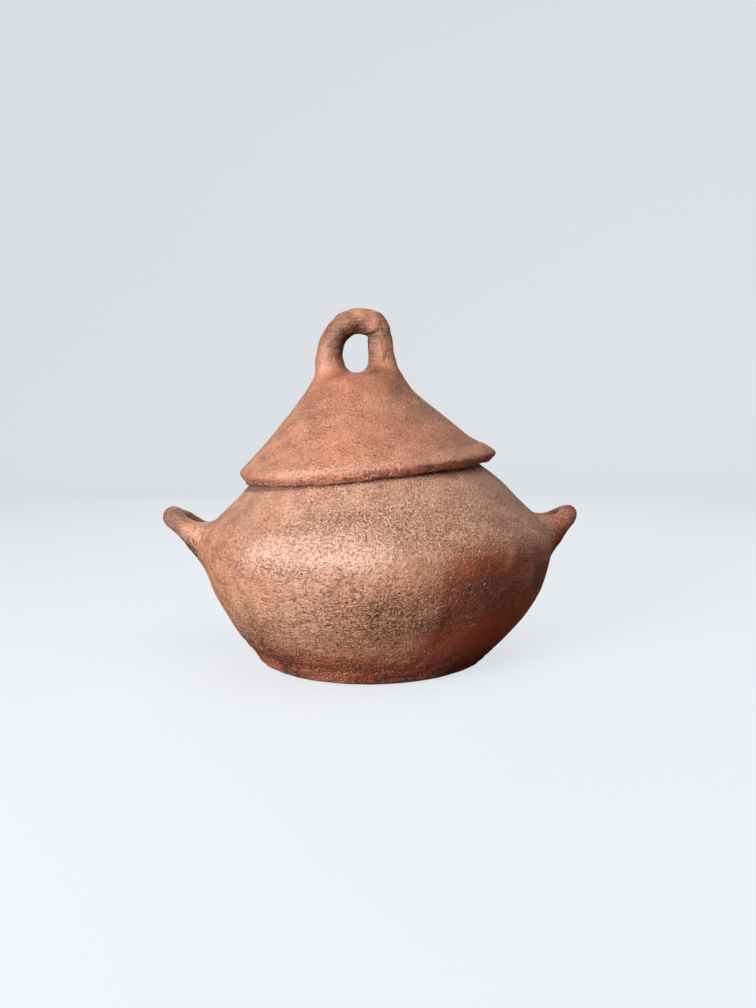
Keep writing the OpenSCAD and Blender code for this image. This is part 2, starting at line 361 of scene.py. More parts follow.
def rope_grid(line, radii, flat_axis, rings, sides):
    """Rings of points along a rope, each ring square to the rope."""
    fine = evenly(np.c_[line, radii], 0.2)
    wanted = np.linspace(0, len(fine) - 1, rings)
    fine = np.stack([np.interp(wanted, np.arange(len(fine)), fine[:, k]) for k in range(4)], 1)
    middle, r = fine[:, :3], fine[:, 3]
    along = np.gradient(middle, axis=0)
    along /= np.linalg.norm(along, axis=1)[:, None]
    u = np.cross(flat_axis, along)
    u /= np.linalg.norm(u, axis=1)[:, None]
    v = np.cross(along, u)
    a = np.linspace(0, 2 * math.pi, sides, endpoint=False)
    out = np.cos(a)[None, :, None] * u[:, None] + np.sin(a)[None, :, None] * v[:, None]
    return middle[:, None] + r[:, None, None] * out


def distance_to_rope(p, line, radii):
    """Distance of points from a rope's surface, negative inside it."""
    best = np.full(len(p), 1e3)
    for a, b, ra, rb in zip(line[:-1], line[1:], radii[:-1], radii[1:]):
        step = b - a
        t = np.clip(((p - a) @ step) / (step @ step), 0, 1)
        away = np.linalg.norm(p - a - t[:, None] * step, axis=1) - mix(ra, rb, t)
        best = np.minimum(best, away)
    return best


def distance_to_pot(p):
    """Distance from the pot's outer wall, away from its base and its mouth."""
    z = np.clip(p[:, 2], FOOT_H, WALL_TOP)
    out = np.hypot(p[:, 0] - lean_at(z), p[:, 1]) - wall_r(z)
    return out / np.hypot(1, wall_slope(z))


def distance_to_lid(p):
    """Distance from the lid's flank and crown, in the lid's own frame."""
    t = np.clip((p[:, 2] - FLANK_H) / (CROWN_H - FLANK_H), 0, 1)
    r = np.hypot(p[:, 0] - CROWN_SHIFT * t, p[:, 1])
    flank = (r - flank_r_at(np.minimum(p[:, 2], CROWN_H + 6))) / math.hypot(1, FLANK_SLOPE)
    dome = CROWN_H + CROWN_RISE * np.sqrt(np.clip(1 - (r / (CROWN_R + 4)) ** 2, 0, 1))
    return -joined(-flank, dome - p[:, 2], CROWN_ROUNDING)


def joined(a, b, blend):
    """Smooth union of two distances."""
    h = np.clip(0.5 + 0.5 * (b - a) / blend, 0, 1)
    return mix(b, a, h) - blend * h * (1 - h)


def lute(p, normal, own, other, blend, most):
    """Moves points out along their normals to the smooth union of two pieces.

    Where the other piece's surface lies outside, the points stay a little under it."""
    p = p.copy()
    moved = np.zeros(len(p))
    for _ in range(9):
        a, b = own(p), other(p)
        under = 0.7 * ramp(a - b, 0.3, 3.0)
        step = np.clip(-joined(a, b, blend) - under, 0, 1.6)
        step = np.minimum(step, most - moved)
        p += normal * step[:, None]
        moved += step
    return p


# ---- Meshes from grids of points ------------------------------------------------------

def spun(outline, shift, columns):
    """Grid of points made by turning an outline about Z, each ring shifted along X."""
    a = np.linspace(0, 2 * math.pi, columns, endpoint=False)
    r, z = outline[:, 0][:, None], outline[:, 1][:, None]
    shift = np.asarray(shift, float)[:, None]
    return np.stack([r * np.cos(a) + shift, r * np.sin(a), z + 0 * a], -1)


def grid_normals(grid):
    """Normals of a grid whose columns close round, pointing away from the clay."""
    down = np.gradient(grid, axis=0)
    round_ = np.roll(grid, -1, 1) - np.roll(grid, 1, 1)
    n = np.cross(round_, down)
    length = np.linalg.norm(n, axis=2)
    n /= np.maximum(length, 1e-9)[..., None]
    for row, beside in ((0, 1), (-1, -2)):
        mean = n[beside].mean(axis=0)
        n[row] = mean / max(np.linalg.norm(mean), 1e-9)
    return n


def mesh_from_grid(name, grid, fields):
    """Closed mesh from rows of points. The first and last rows shrink to one point each."""
    rows, cols = grid.shape[:2]
    inner = grid[1:-1].reshape(-1, 3)
    points = np.concatenate([inner, grid[:1].mean(axis=1), grid[-1:].mean(axis=1)])
    first, last = len(inner), len(inner) + 1
    at = np.arange(len(inner)).reshape(rows - 2, cols)
    nxt = np.roll(at, -1, 1)
    quads = np.stack([at[:-1], nxt[:-1], nxt[1:], at[1:]], -1).reshape(-1, 4).tolist()
    quads += [(first, b, a) for a, b in zip(at[0].tolist(), nxt[0].tolist())]
    quads += [(last, a, b) for a, b in zip(at[-1].tolist(), nxt[-1].tolist())]
    mesh = bpy.data.meshes.new(name)
    mesh.from_pydata((points * MM).tolist(), [], quads)
    mesh.polygons.foreach_set("use_smooth", [True] * len(mesh.polygons))
    for field, values in fields.items():
        rowed = values.reshape(rows, cols)
        flat = np.r_[rowed[1:-1].ravel(), rowed[0].mean(), rowed[-1].mean()]
        mesh.attributes.new(field, "FLOAT", "POINT").data.foreach_set("value", flat)
    mesh.update()
    piece = bpy.data.objects.new(name, mesh)
    bpy.context.scene.collection.objects.link(piece)
    return piece


# ---- Unevenness that all the clay shares ----------------------------------------------

HOLLOW_PER_MM = 1.6


def hand_built(p):
    """Wide lumps from the hands, and flatter places from a paddle."""
    return 0.7 * layered(p, 44, 3, 2) + 0.3 * noise(p, (21, 21, 15), 17)


def gritty(p):
    """Coarse grit just under the surface."""
    return noise(p, 4.2, 29) + 0.7 * noise(p, 2.7, 41)


def scraped(p):
    """Level drag marks, long along the wall and narrow in height, in some places only."""
    marks = noise(p, (24, 24, 2.6), 53) + 0.7 * noise(p, (13, 13, 1.8), 59)
    return marks * ramp(noise(p, (40, 40, 22), 61), -0.15, 0.5)


def holes(p, size, salt, share):
    """Pits where grit fell out: 1 in the middle of a pit. share of the cells have one."""
    near, own = pits(p, size, salt)
    return ramp(near, 0.45, 0.12) * (own < share)


def scored(p):
    """Short level cuts that the scraper's grit tore: 1 in the middle of a cut."""
    bent = p + np.array([0, 0, 1]) * (1.5 * noise(p, 9, 173))[:, None]
    return holes(bent, (11, 11, 3.0), 179, 0.4)


def spot(p, centre, size):
    """1 at the centre, fading to 0 over the given lengths along X, Y and Z."""
    away = (p - np.asarray(centre, float)) / np.asarray(size, float)
    return np.exp(-np.sum(away ** 2, axis=1))


def turn_of(p):
    """Degrees round the pot from the front, positive towards the right handle."""
    return np.degrees(np.arctan2(p[:, 0] - lean_at(p[:, 2]), -p[:, 1]))


def turn_on_lid(q):
    """Degrees round the lid from the front, positive to the right. q is in its own frame."""
    return np.degrees(np.arctan2(q[:, 0], -q[:, 1]))


def patch(turn, z, at_turn, at_z, turn_size, z_size):
    """1 in the middle of a patch, given by its turn and height."""
    away = (turn - at_turn + 180) % 360 - 180
    return np.exp(-(away / turn_size) ** 2 - ((z - at_z) / z_size) ** 2)


def patches(turn, z, rows):
    """Patches added up. Each row starts with the strength of its patch."""
    return sum(strength * patch(turn, z, *where) for strength, *where in rows)


def away_from_seat(p):
    """0 where the lid touches the shoulder, 1 elsewhere. p is in the row frame."""
    q = row_to_lid(p)
    r = np.hypot(q[:, 0], q[:, 1])
    return np.maximum(ramp(np.abs(r - SEAT_R + 1.5), 2.5, 5.5), ramp(np.abs(q[:, 2]), 8, 14))


def shade_beside_seat(p):
    """1 just outside the ring where the lid touches the shoulder: there painted shade stands for the
    shadow under the lid's rim. p is in the row frame.
    """
    q = row_to_lid(p)
    r = np.hypot(q[:, 0], q[:, 1])
    ring = ramp(r, 82.5, 79.5) * ramp(r, 75.5, 77.5) * ramp(np.abs(q[:, 2]), 5, 3)
    return ring * (0.45 + 0.55 * ramp(noise(p, 14, 191), -0.5, 0.4))


def add_depth(fields, depth, inside):
    """Adds how deep the small hollows are, where 0.5 is level, and what lies inside."""
    fields["hollow"] = np.clip(0.5 + HOLLOW_PER_MM * depth, 0, 1)
    fields["inside"] = inside.astype(float)


# ---- The pot --------------------------------------------------------------------------

HANDLE_LINES = {side: handle_line(**size) for side, size in HANDLES.items()}
POT_POINTS = dict(fine=1.5, coarse=3.4)
POT_COLUMNS = 480
HANDLE_GRID = dict(rings=120, sides=72)
HANDLE_BLEND = 11.0
PLUG_DEPTH = 4.0
CREASE_H = 11.5
CREASE_HALF_WIDTH = 1.7
FACET_DEPTH = 0.55
FACET_TURN = 17.5
CHIPPED = (-119, -29, 77.5)
# Middles of the painted shade in the hollow of each handle, between its rope and the wall.
SHADED_HOLLOW_LEFT = (-129, 7, 93)
SHADED_HOLLOW_RIGHT = (134, 8, 100)

# Patches on the wall: strength, degrees round from the front, height, and how far each one
# fades out round the wall, in degrees, and up it.
TORN_PATCHES = (
    (1.0, 8, 48, 22, 18),       # crust in the middle of the front
    (0.4, -30, 79, 26, 8),      # under the sheen
    (0.8, -46, 32, 22, 16),     # low on the left
    (0.3, -25, 55, 40, 25),     # between these
    (0.5, 150, 60, 40, 22),     # back
    (0.2, 42, 66, 20, 20),      # right flank
    (0.45, 10, 104, 40, 12),    # under the lid's rim
)
SOOT_PATCHES = (
    (0.6, 2, 47, 15, 12),       # on the crust
    (0.3, -8, 34, 20, 10),      # below it
    (0.9, -50, 27, 13, 12),     # low on the left
    (0.22, 27, 50, 15, 26),     # at the edge of the red
    (0.3, -58, 100, 30, 16),    # left shoulder
    (0.7, 155, 48, 34, 20),     # back
    (0.35, -125, 30, 30, 14),   # back left
)
PALE_AND_SHEEN_PATCHES = (
    (1.6, -20, 85, 21, 11),     # painted highlight of the sheen
    (0.3, 12, 100, 22, 14),     # right of it, up to the rim
    (0.3, -22, 48, 42, 18),     # below it
)
PIT_PATCHES = (
    (1.0, -50, 26, 16, 13),     # low on the left
    (0.8, 4, 40, 30, 18),       # on the crust
)
RED_FRONT = (28, 40, 26, 28)
RED_BACK = (130, 70, 40, 34)
SHEEN = (-24, 88, 30, 18)
GRAINY_EDGE = (26, 60, 20, 26)
LUMPY = (20, 76, 16, 10)
ROLL = (-28, 5.5, 34, 5.0)
CREASE = (-29, CREASE_H, 25, 9)


def distance_to_handles(p):
    near = np.full(len(p), 1e3)
    for line, radii, _ in HANDLE_LINES.values():
        box = np.abs(p - line.mean(axis=0)).max(axis=1) < 70
        near[box] = np.minimum(near[box], distance_to_rope(p[box], line, radii))
    return near


def torn_share(turn, z):
    """Where the scraper tore the wall: in patches, and all round the foot."""
    return np.clip(patches(turn, z, TORN_PATCHES) + 0.75 * ramp(z, 34, 17), 0, 1)


def pot_marks(p):
    """What the fire and the scraper left on the pot, with painted shade and a painted highlight
    among them, as shares from 0 to 1.
    """
    turn, x, z = turn_of(p), p[:, 0], p[:, 2]
    to_handle = distance_to_handles(p)
    cloudy = layered(p, 26, 71, 3, 0.6)
    streaky = noise(p, (17, 17, 3.4), 79)
    # flank is the right flank, away from the window: painted shade darkens it there with soot and
    # reddens it, and the red there is partly the clay's own.
    flank = ramp(z, 98, 76) * ramp(np.abs(turn - 47), 37, 14)
    chipped = 1.7 * spot(p, CHIPPED, (8, 9, 8))

    soot_and_shade = patches(turn, z, SOOT_PATCHES) + 0.85 * flank * ramp(z, 28, 60)
    # Low fire clouds. The last term is painted shade, darker towards the base below 13 mm.
    soot_and_shade += 0.7 * ramp(z, 26, 8) * ramp(cloudy, -0.4, 0.4) + 0.3 * ramp(z, 13, 3)
    soot_and_shade += 0.35 * ramp(np.abs(x), 118, 128) + 0.5 * ramp(x, 117, 130) + 0.6 * ramp(x, -116, -126)
    # Painted shade in the hollows of the two handles.
    soot_and_shade += 1.6 * spot(p, SHADED_HOLLOW_LEFT, (12, 13, 9)) + 1.4 * spot(p, SHADED_HOLLOW_RIGHT, (12, 8, 9))
    soot_and_shade = np.clip(soot_and_shade * (0.8 + 0.8 * cloudy + 0.5 * streaky), 0, 1)

    # The second term is painted shade on the right flank, partly the clay's own red.
    red = 0.8 * patch(turn, z, *RED_FRONT) + 1.2 * flank * ramp(turn, 13, 22)
    red *= 0.4 + 0.6 * ramp(turn, 62, 40)
    red += 0.4 * patch(turn, z, *RED_BACK) + 1.1 * ramp(z, 32, 12) + 0.75 * ramp(x, 114, 126)
    pale = patches(turn, z, PALE_AND_SHEEN_PATCHES) + 0.25 * ramp(z, 92, 112)
    burnish = 1.2 * patch(turn, z, *SHEEN) + 0.4 * ramp(to_handle, 16, 2)
    sandy = ramp(z, 80, 91) * (0.4 + 0.6 * ramp(np.abs(turn - 30), 75, 45))
    sandy += 0.4 * patch(turn, z, *GRAINY_EDGE)
    marks = dict(soot_and_shade=soot_and_shade + 0.7 * chipped, red=red * (0.9 + 0.5 * cloudy),
                 pale=pale * (0.9 + 0.6 * cloudy), burnish=burnish, sandy=sandy,
                 smoothed=0.6 * ramp(to_handle, 7, 1), torn=torn_share(turn, z) + chipped)
    return {name: np.clip(share, 0, 1) for name, share in marks.items()}


def facet(p, turn):
    """1 where the scraper cut one flatter place into the wall, right of the front."""
    z = p[:, 2]
    wavy = 1.6 * noise(p, 15, 181)
    across = ramp(turn + wavy, FACET_TURN, FACET_TURN + 4) * ramp(turn, 68, 50)
    return across * ramp(z + wavy, 90.5, 86.5) * ramp(z, 16, 34)


def foot_relief(p, turn):
    """The roll of clay at the foot's front left, and the crease above it."""
    z = p[:, 2]
    crease_at = CREASE_H + 1.6 * noise(p, 22, 101)
    crease = np.exp(-((z - crease_at) / CREASE_HALF_WIDTH) ** 2) * patch(turn, z, *CREASE)
    crease *= ramp(noise(p, 12, 103), -1.0, 0.2)
    return 0.6 * patch(turn, z, *ROLL) - 1.4 * crease


def fine_pot_relief(p, turn):
    """Grit, scrapes, pits and cuts in the pot's outer face."""
    z = p[:, 2]
    plain = ramp(distance_to_handles(p), 3, 13)
    pitted = 0.35 + patches(turn, z, PIT_PATCHES) + 0.7 * ramp(z, 26, 10)
    low = ramp(z, 6, 16)
    torn = torn_share(turn, z)
    fine = (0.06 + 0.14 * torn) * gritty(p) + plain * 0.22 * scraped(p) * ramp(z, 104, 84)
    fine += 0.45 * ramp(z, 30, 12) * noise(p, (8, 8, 5.5), 93)
    fine -= 1.6 * spot(p, CHIPPED, (9, 9, 9)) * holes(p, (4.5, 4.5, 3.2), 95, 0.8)
    fine -= plain * low * 0.45 * np.clip(pitted, 0, 1.3) * holes(p, (8, 8, 4.2), 83, 0.16)
    fine -= plain * 0.16 * holes(p, 3.6, 89, 0.2)
    fine -= plain * 0.40 * torn * scored(p)
    fine += plain * 0.35 * patch(turn, z, *LUMPY) * noise(p, 9, 97)
    return fine, plain * FACET_DEPTH * facet(p, turn)


def pot_relief(p, inside):
    """How far the clay stands out from the smooth form, and how deep its small hollows are."""
    turn, z = turn_of(p), p[:, 2]
    fine, cut_back = fine_pot_relief(p, turn)
    foot = foot_relief(p, turn)
    broad = hand_built(p) * (0.35 + 0.65 * ramp(z, 5, 30))
    inner = 0.6 * hand_built(p) + 0.22 * noise(p, (30, 30, 5), 107) + 0.06 * gritty(p)
    # The depth also darkens the colour: painted shade beside the lid's seat, in pits and cuts, and
    # in the foot's crease.
    depth = np.where(inside, -0.1 * gritty(p), 0.5 * shade_beside_seat(p) - fine - 0.9 * foot)
    relief = np.where(inside, inner, broad + fine - cut_back + foot) * away_from_seat(p)
    return relief, depth


def finish_pot(points, normals, inside, shape):
    """Adds the relief, keeps the base flat, and returns the grid with what shows on it."""
    relief, depth = pot_relief(points, inside)
    standing = ramp(points[:, 2], 0.0, 3.0)
    moved = points + normals * (relief * standing)[:, None]
    moved[:, 2] = np.maximum(moved[:, 2], 0)
    fields = pot_marks(points)
    add_depth(fields, depth, inside)
    return moved.reshape(shape), fields


def make_pot():
    outline = pot_outline(**POT_POINTS)
    grid = spun(outline, lean_at(outline[:, 1]), POT_COLUMNS)
    rows = np.arange(len(grid))
    lip_row = int(np.argmax(outline[:, 1]))
    inside = np.repeat(rows > lip_row + 2, grid.shape[1])
    points = grid.reshape(-1, 3)
    normals = grid_normals(grid).reshape(-1, 3)
    near = ~inside & (distance_to_handles(points) < 2 * HANDLE_BLEND)
    points[near] = lute(points[near], normals[near], distance_to_pot, distance_to_handles,
                        HANDLE_BLEND, 5)
    normals = grid_normals(points.reshape(grid.shape)).reshape(-1, 3)
    grid, fields = finish_pot(points, normals, inside, grid.shape)
    return mesh_from_grid("clay_pot", grid, fields)


def make_handle(side):
    line, radii, flat_axis = HANDLE_LINES[side]
    grid = rope_grid(line, radii, flat_axis, **HANDLE_GRID)
    points = grid.reshape(-1, 3)
    normals = grid_normals(grid).reshape(-1, 3)

    def own(p):
        return distance_to_rope(p, line, radii)

    points = lute(points, normals, own, distance_to_pot, HANDLE_BLEND, 6)
    sunk = distance_to_pot(points)
    outward = points - np.stack([lean_at(points[:, 2]), 0 * sunk, points[:, 2]], 1)
    outward /= np.linalg.norm(outward, axis=1)[:, None]
    points = points + outward * np.maximum(-PLUG_DEPTH - sunk, 0)[:, None]
    normals = grid_normals(points.reshape(grid.shape)).reshape(-1, 3)
    knobbly = ramp(distance_to_pot(points), 2, 12)
    points = points + normals * (knobbly * 0.45 * noise(points, 11, 113))[:, None]
    inside = np.zeros(len(points), bool)
    grid, fields = finish_pot(points, normals, inside, grid.shape)
    return mesh_from_grid("clay_handle_" + side, grid, fields)


# ---- The lid --------------------------------------------------------------------------

LOOP = loop_line()
LID_POINTS = dict(fine=1.25, coarse=3.0)
LID_COLUMNS = 500
LOOP_GRID = dict(rings=150, sides=88)
LOOP_BLEND = 11.0
TUCK = 3.0
CROWN_ROUNDING = 7.0
CROWN_ZONE = 16
LOOP_LEFT = LOOP_SHIFT - LOOP_SPAN / 2
LOOP_RIGHT = LOOP_SHIFT + LOOP_SPAN / 2
LOOP_TOP = CROWN_H + CROWN_RISE + LOOP_RISE
# Middle of the painted shade under the loop's arch, and how far it reaches.
SHADED_LOOP_HOLLOW = (LOOP_SHIFT, -3, LOOP_TOP - 13)
HOLLOW_REACH = (13, 9, 11)
THUMB_MARK = (-66, -44, 18)

# Patches on the lid, as on the pot.
LID_SOOT_PATCHES = (
    (0.55, -32, 42, 26, 12),    # left of the front, half way up
    (0.4, 52, 48, 26, 14),      # right, half way up
    (0.4, 150, 36, 44, 18),     # back
    (0.42, -62, 9, 34, 15),     # left, by the rim
)
LID_PALE_AND_SHEEN_PATCHES = (
    (0.2, -50, 12, 34, 7),      # left, above the rim
    (0.3, -30, 8, 60, 3.5),     # along the rim
    (0.9, -28, 6.5, 13, 3),     # painted highlight on the rim
    (0.4, 0, 6, 44, 4),         # the rim's front
)
LID_RED = (8, 28, 40, 20)
LID_SHEEN = (-45, 14, 30, 8)
RIM_SHEEN = (-28, 6.5, 13, 4)
PRESSED_UNDER = (-70, -0.5, 34, 4.0)
PRESSED_IN = (-92, 5, 30, 6)


def distance_to_loop(p):
    return distance_to_rope(p, LOOP[0], LOOP[1])


def lid_marks(q):
    """What shows on the lid and its loop. q is in the lid's own frame."""
    turn = turn_on_lid(q)
    x, z = q[:, 0], q[:, 2]
    cloudy = layered(q, 24, 127, 3, 0.6)
    edge = ramp(z, 7, 2) * ramp(np.hypot(x, q[:, 1]), 76, 82)

    soot_and_shade = patches(turn, z, LID_SOOT_PATCHES) + 0.6 * ramp(z, 46, 62) * ramp(z, 74, 66)
    # Darker over the crown and the loop, more on the loop's top and its right leg.
    soot_and_shade += 0.34 * ramp(z, 62, 70) + 0.35 * ramp(z, 84, 98) + 0.4 * ramp(z, 64, 80) * ramp(x, -12, 4)
    soot_and_shade += 1.3 * spot(q, THUMB_MARK, (7, 10, 3))
    # Painted shade under the loop's arch.
    soot_and_shade += 2.6 * spot(q, SHADED_LOOP_HOLLOW, HOLLOW_REACH) * ramp(z, 66, 72)
    red = 0.5 * edge + 0.35 * patch(turn, z, *LID_RED)
    red += 0.65 * ramp(z, 42, 62) - 0.5 * ramp(z, 64, 76)
    pale = patches(turn, z, LID_PALE_AND_SHEEN_PATCHES)
    # Painted highlight on the loop's left leg, on the window's side.
    pale += 0.9 * spot(q, (LOOP_LEFT - 5, -7, CROWN_H + 14), (8, 9, 22))
    burnish = 0.4 * patch(turn, z, *LID_SHEEN) + 0.6 * patch(turn, z, *RIM_SHEEN)
    burnish += 0.5 * ramp(z, 60, 72)
    marks = dict(soot_and_shade=soot_and_shade * (0.8 + 0.9 * cloudy), red=red * (0.9 + 0.6 * cloudy),
                 pale=pale * (0.9 + 0.6 * cloudy), burnish=burnish,
                 sandy=0.85 * ramp(z, 70, 50) + 0.1 * edge,
                 smoothed=0.35 * ramp(z, 60, 70), torn=0.4 * edge)
    return {name: np.clip(share, 0, 1) for name, share in marks.items()}


def lid_relief(q, inside):
    """How far the clay stands out from the smooth form, and how deep its small hollows are."""
    turn = turn_on_lid(q)
    z = q[:, 2]
    r = np.hypot(q[:, 0], q[:, 1])
    row = lid_to_row(q)
    plain = ramp(distance_to_loop(q), 2, 11)
    rim = ramp(z, 13, 6) * ramp(r, 77, 82)
    edge = ramp(z, 7, 3) * rim
    fine = (0.05 + 0.2 * edge) * gritty(q) + plain * 0.07 * scraped(q)
    fine -= plain * 0.15 * holes(q, 3.8, 131, 0.14)
    fine -= edge * 0.5 * holes(q, (7, 7, 3.2), 137, 0.3)
    fine += edge * (0.3 * noise(q, (9, 9, 2.2), 139) + 0.3 * noise(q, 5.5, 141))
    swells = 0.8 * spot(q, (62, 0, 34), (20, 60, 16)) - 0.8 * spot(q, (-60, 0, 34), (20, 60, 14))
    swells += 0.7 * rim * noise(q, 30, 149) - 0.8 * spot(q, THUMB_MARK, (9, 9, 4))
    swells -= 1.6 * patch(turn, z, *PRESSED_UNDER) * ramp(r, 78, 84)
    swells -= 1.2 * patch(turn, z, *PRESSED_IN) * rim
    swells += 1.3 * spot(q, (84, 0, 12.5), (7, 34, 4))
    broad = hand_built(q + 200)
    inner = 0.5 * broad + 0.2 * noise(q, (26, 26, 6), 151) + 0.06 * gritty(q)
    # Painted shade beside the seat under the rim, and under the loop's arch.
    painted_shade = 0.7 * shade_beside_seat(row) + 0.55 * spot(q, SHADED_LOOP_HOLLOW, HOLLOW_REACH)
    depth = np.where(inside, -0.1 * gritty(q), painted_shade - fine)
    relief = np.where(inside, inner, 0.85 * broad + fine + swells) * away_from_seat(row)
    return relief, depth


def finish_lid(q, normals, inside, shape):
    relief, depth = lid_relief(q, inside)
    fields = lid_marks(q)
    add_depth(fields, depth, inside)
    return lid_to_row(q + normals * relief[:, None]).reshape(shape), fields


def tucked(q):
    """On its left the rim is pressed under, so it meets the shoulder a little further in."""
    turn = turn_on_lid(q)
    r = np.hypot(q[:, 0], q[:, 1])
    share = ramp(np.abs(turn + 85), 75, 20) * ramp(r, 68, 76) * ramp(r, 88, 82)
    share *= ramp(q[:, 2], 6, 2)
    slide = math.asin(SEAT_R / BALL_R)
    inward = np.stack([-q[:, 0] / r, -q[:, 1] / r, 0 * r + math.tan(slide)], 1) * math.cos(slide)
    return q + inward * (TUCK * share)[:, None]


def make_lid():
    outline = lid_outline(**LID_POINTS)
    grid = spun(outline, outline[:, 2], LID_COLUMNS)
    seat_row = int(np.argmin(np.hypot(outline[:, 0] - SEAT_R, outline[:, 1])))
    inside = np.repeat(np.arange(len(grid)) < seat_row - 1, grid.shape[1])
    q = grid.reshape(-1, 3)
    normals = grid_normals(grid).reshape(-1, 3)
    crown = ~inside & (q[:, 2] > CROWN_H - CROWN_ZONE)
    for _ in range(4):
        over = np.maximum(distance_to_lid(q[crown]), 0)
        q[crown] -= normals[crown] * over[:, None]
    normals = grid_normals(q.reshape(grid.shape)).reshape(-1, 3)
    near = ~inside & (distance_to_loop(q) < 2 * LOOP_BLEND)
    q[near] = lute(q[near], normals[near], distance_to_lid, distance_to_loop, LOOP_BLEND, 5)
    q = tucked(q)
    normals = grid_normals(q.reshape(grid.shape)).reshape(-1, 3)
    grid, fields = finish_lid(q, normals, inside, grid.shape)
    return mesh_from_grid("clay_lid", grid, fields)


def make_loop():
    grid = rope_grid(*LOOP, **LOOP_GRID)
    q = grid.reshape(-1, 3)
    normals = grid_normals(grid).reshape(-1, 3)
    q = lute(q, normals, distance_to_loop, distance_to_lid, LOOP_BLEND, 7)
    q = q + np.array([0, 0, 1]) * np.maximum(-PLUG_DEPTH - distance_to_lid(q), 0)[:, None]
    normals = grid_normals(q.reshape(grid.shape)).reshape(-1, 3)
    q = q + normals * loop_shape(q)[:, None]
    inside = np.zeros(len(q), bool)
    grid, fields = finish_lid(q, normals, inside, grid.shape)
    return mesh_from_grid("clay_loop", grid, fields)


def loop_shape(q):
    """The loop's own swells and its crease, where the rope was bent over and pressed."""
    free = ramp(distance_to_lid(q), 2, 10)
    knobs = 0.6 * noise(q, 12, 157) + 0.5 * noise(q, 6.5, 163) + 0.22 * noise(q, 3.4, 167)
    knobs += 1.0 * spot(q, (LOOP_LEFT - 6, 0, CROWN_H + 12), (7, 14, 9))
    knobs += 0.9 * spot(q, (LOOP_RIGHT + 4, 0, LOOP_TOP + 3), (8, 12, 8))
    along = (LOOP_RIGHT - 8 - q[:, 0]) * 0.16 + (q[:, 2] - LOOP_TOP + 11.5) * 0.99
    crease = np.exp(-(along / 1.5) ** 2) * spot(q, (LOOP_RIGHT - 6, -7, LOOP_TOP - 11), (9, 9, 8))
    pitted = spot(q, (LOOP_RIGHT, -6, CROWN_H + 10), (9, 9, 12)) * holes(q, 4.5, 167, 0.5)
    return free * (knobs - 2.3 * crease - 0.6 * pitted)


# ---- Fired clay -----------------------------------------------------------------------

def linear(r, g, b):
    """Colour given from 0 to 255, as on a screen."""
    return tuple(((c / 255 + 0.055) / 1.055) ** 2.4 if c > 10 else c / 3294.6
                 for c in (r, g, b)) + (1,)


# What each mesh says about its surface, as shares from 0 to 1.
MARKS = ("soot_and_shade", "red", "pale", "burnish", "sandy", "smoothed", "torn", "hollow", "inside")
BUMP_MM = 1.1
CLAY_SPECULAR = 0.7

# Colour of soot, and of the painted shade that the soot share also carries.
SOOT_AND_SHADE = linear(84, 59, 44)
UMBER = linear(86, 45, 27)          # soot, and painted shade, on red clay
OCHRE = linear(200, 104, 60)        # pale places on red clay
TORN_CLAY = linear(230, 162, 112)   # crumbs where the wall is torn
SHADE = linear(74, 40, 28)          # painted shade in pits, gouges, cracks, between crumbs and in hollows
GRIT = linear(240, 208, 184)
INNER = linear(120, 76, 58)         # inside the pot and the lid
# The pale colours also paint the highlight on the belly's sheen and on the lid's rim.
POT_COLOURS = dict(light=linear(206, 150, 117), dark=linear(162, 106, 79),
                   red=linear(162, 73, 35), pale=linear(227, 184, 168))
LID_COLOURS = dict(light=linear(207, 143, 109), dark=linear(168, 107, 80),
                   red=linear(178, 93, 60), pale=linear(222, 168, 146))


class Graph:
    """Short way to write a material's nodes. An input is a number, a colour or a node's output."""

    def __init__(self, name):
        self.material = bpy.data.materials.new(name)
        self.material.use_nodes = True
        self.tree = self.material.node_tree
        self.shader = self.tree.nodes["Principled BSDF"]

    def node(self, kind, inputs, output=0, **settings):
        made = self.tree.nodes.new(kind)
        for key, value in settings.items():
            setattr(made, key, value)
        for socket, value in inputs.items():
            if isinstance(value, bpy.types.NodeSocket):
                self.tree.links.new(value, made.inputs[socket])
            else:
                made.inputs[socket].default_value = value
        return made.outputs[output]

    def sum(self, a, b, operation="ADD"):
        return self.node("ShaderNodeMath", {0: a, 1: b}, operation=operation)

    def times(self, a, b):
        return self.sum(a, b, "MULTIPLY")

    def ramp(self, x, low, high, to_low=0.0, to_high=1.0):
        return self.node("ShaderNodeMapRange", {0: x, 1: low, 2: high, 3: to_low, 4: to_high},
                         interpolation_type="SMOOTHSTEP")

    def blend(self, share, a, b):
        return self.node("ShaderNodeMix", {0: share, 6: a, 7: b}, output=2, data_type="RGBA")

    def field(self, name):
        return self.node("ShaderNodeAttribute", {}, output=2, attribute_name=name)

    def stretched(self, place, scale):
        return self.node("ShaderNodeVectorMath", {0: place, 1: scale}, operation="MULTIPLY")

    def noise(self, place, size, detail=2.0, roughness=0.5):
        return self.node("ShaderNodeTexNoise", {"Vector": place, "Scale": 1 / size,
                         "Detail": detail, "Roughness": roughness})

    def grains(self, place, size, share):
        """Scattered round grains of uneven size, and the paler ones among them."""
        cell = {"Vector": place, "Scale": 1 / size}
        away = self.node("ShaderNodeTexVoronoi", cell, output=0)
        own = self.node("ShaderNodeTexVoronoi", cell, output=1)
        pick = self.node("ShaderNodeSeparateColor", {0: own}, output=0)
        bright = self.node("ShaderNodeSeparateColor", {0: own}, output=1)
        strewn = self.noise(place, 4 * size, 2)
        there = self.ramp(self.sum(pick, self.times(strewn, 0.6)), 1.3 - share, 1.3 - 0.5 * share)
        grain = self.times(self.ramp(away, 0.46, 0.14), there)
        return grain, self.times(grain, self.ramp(bright, 0.4, 0.85))


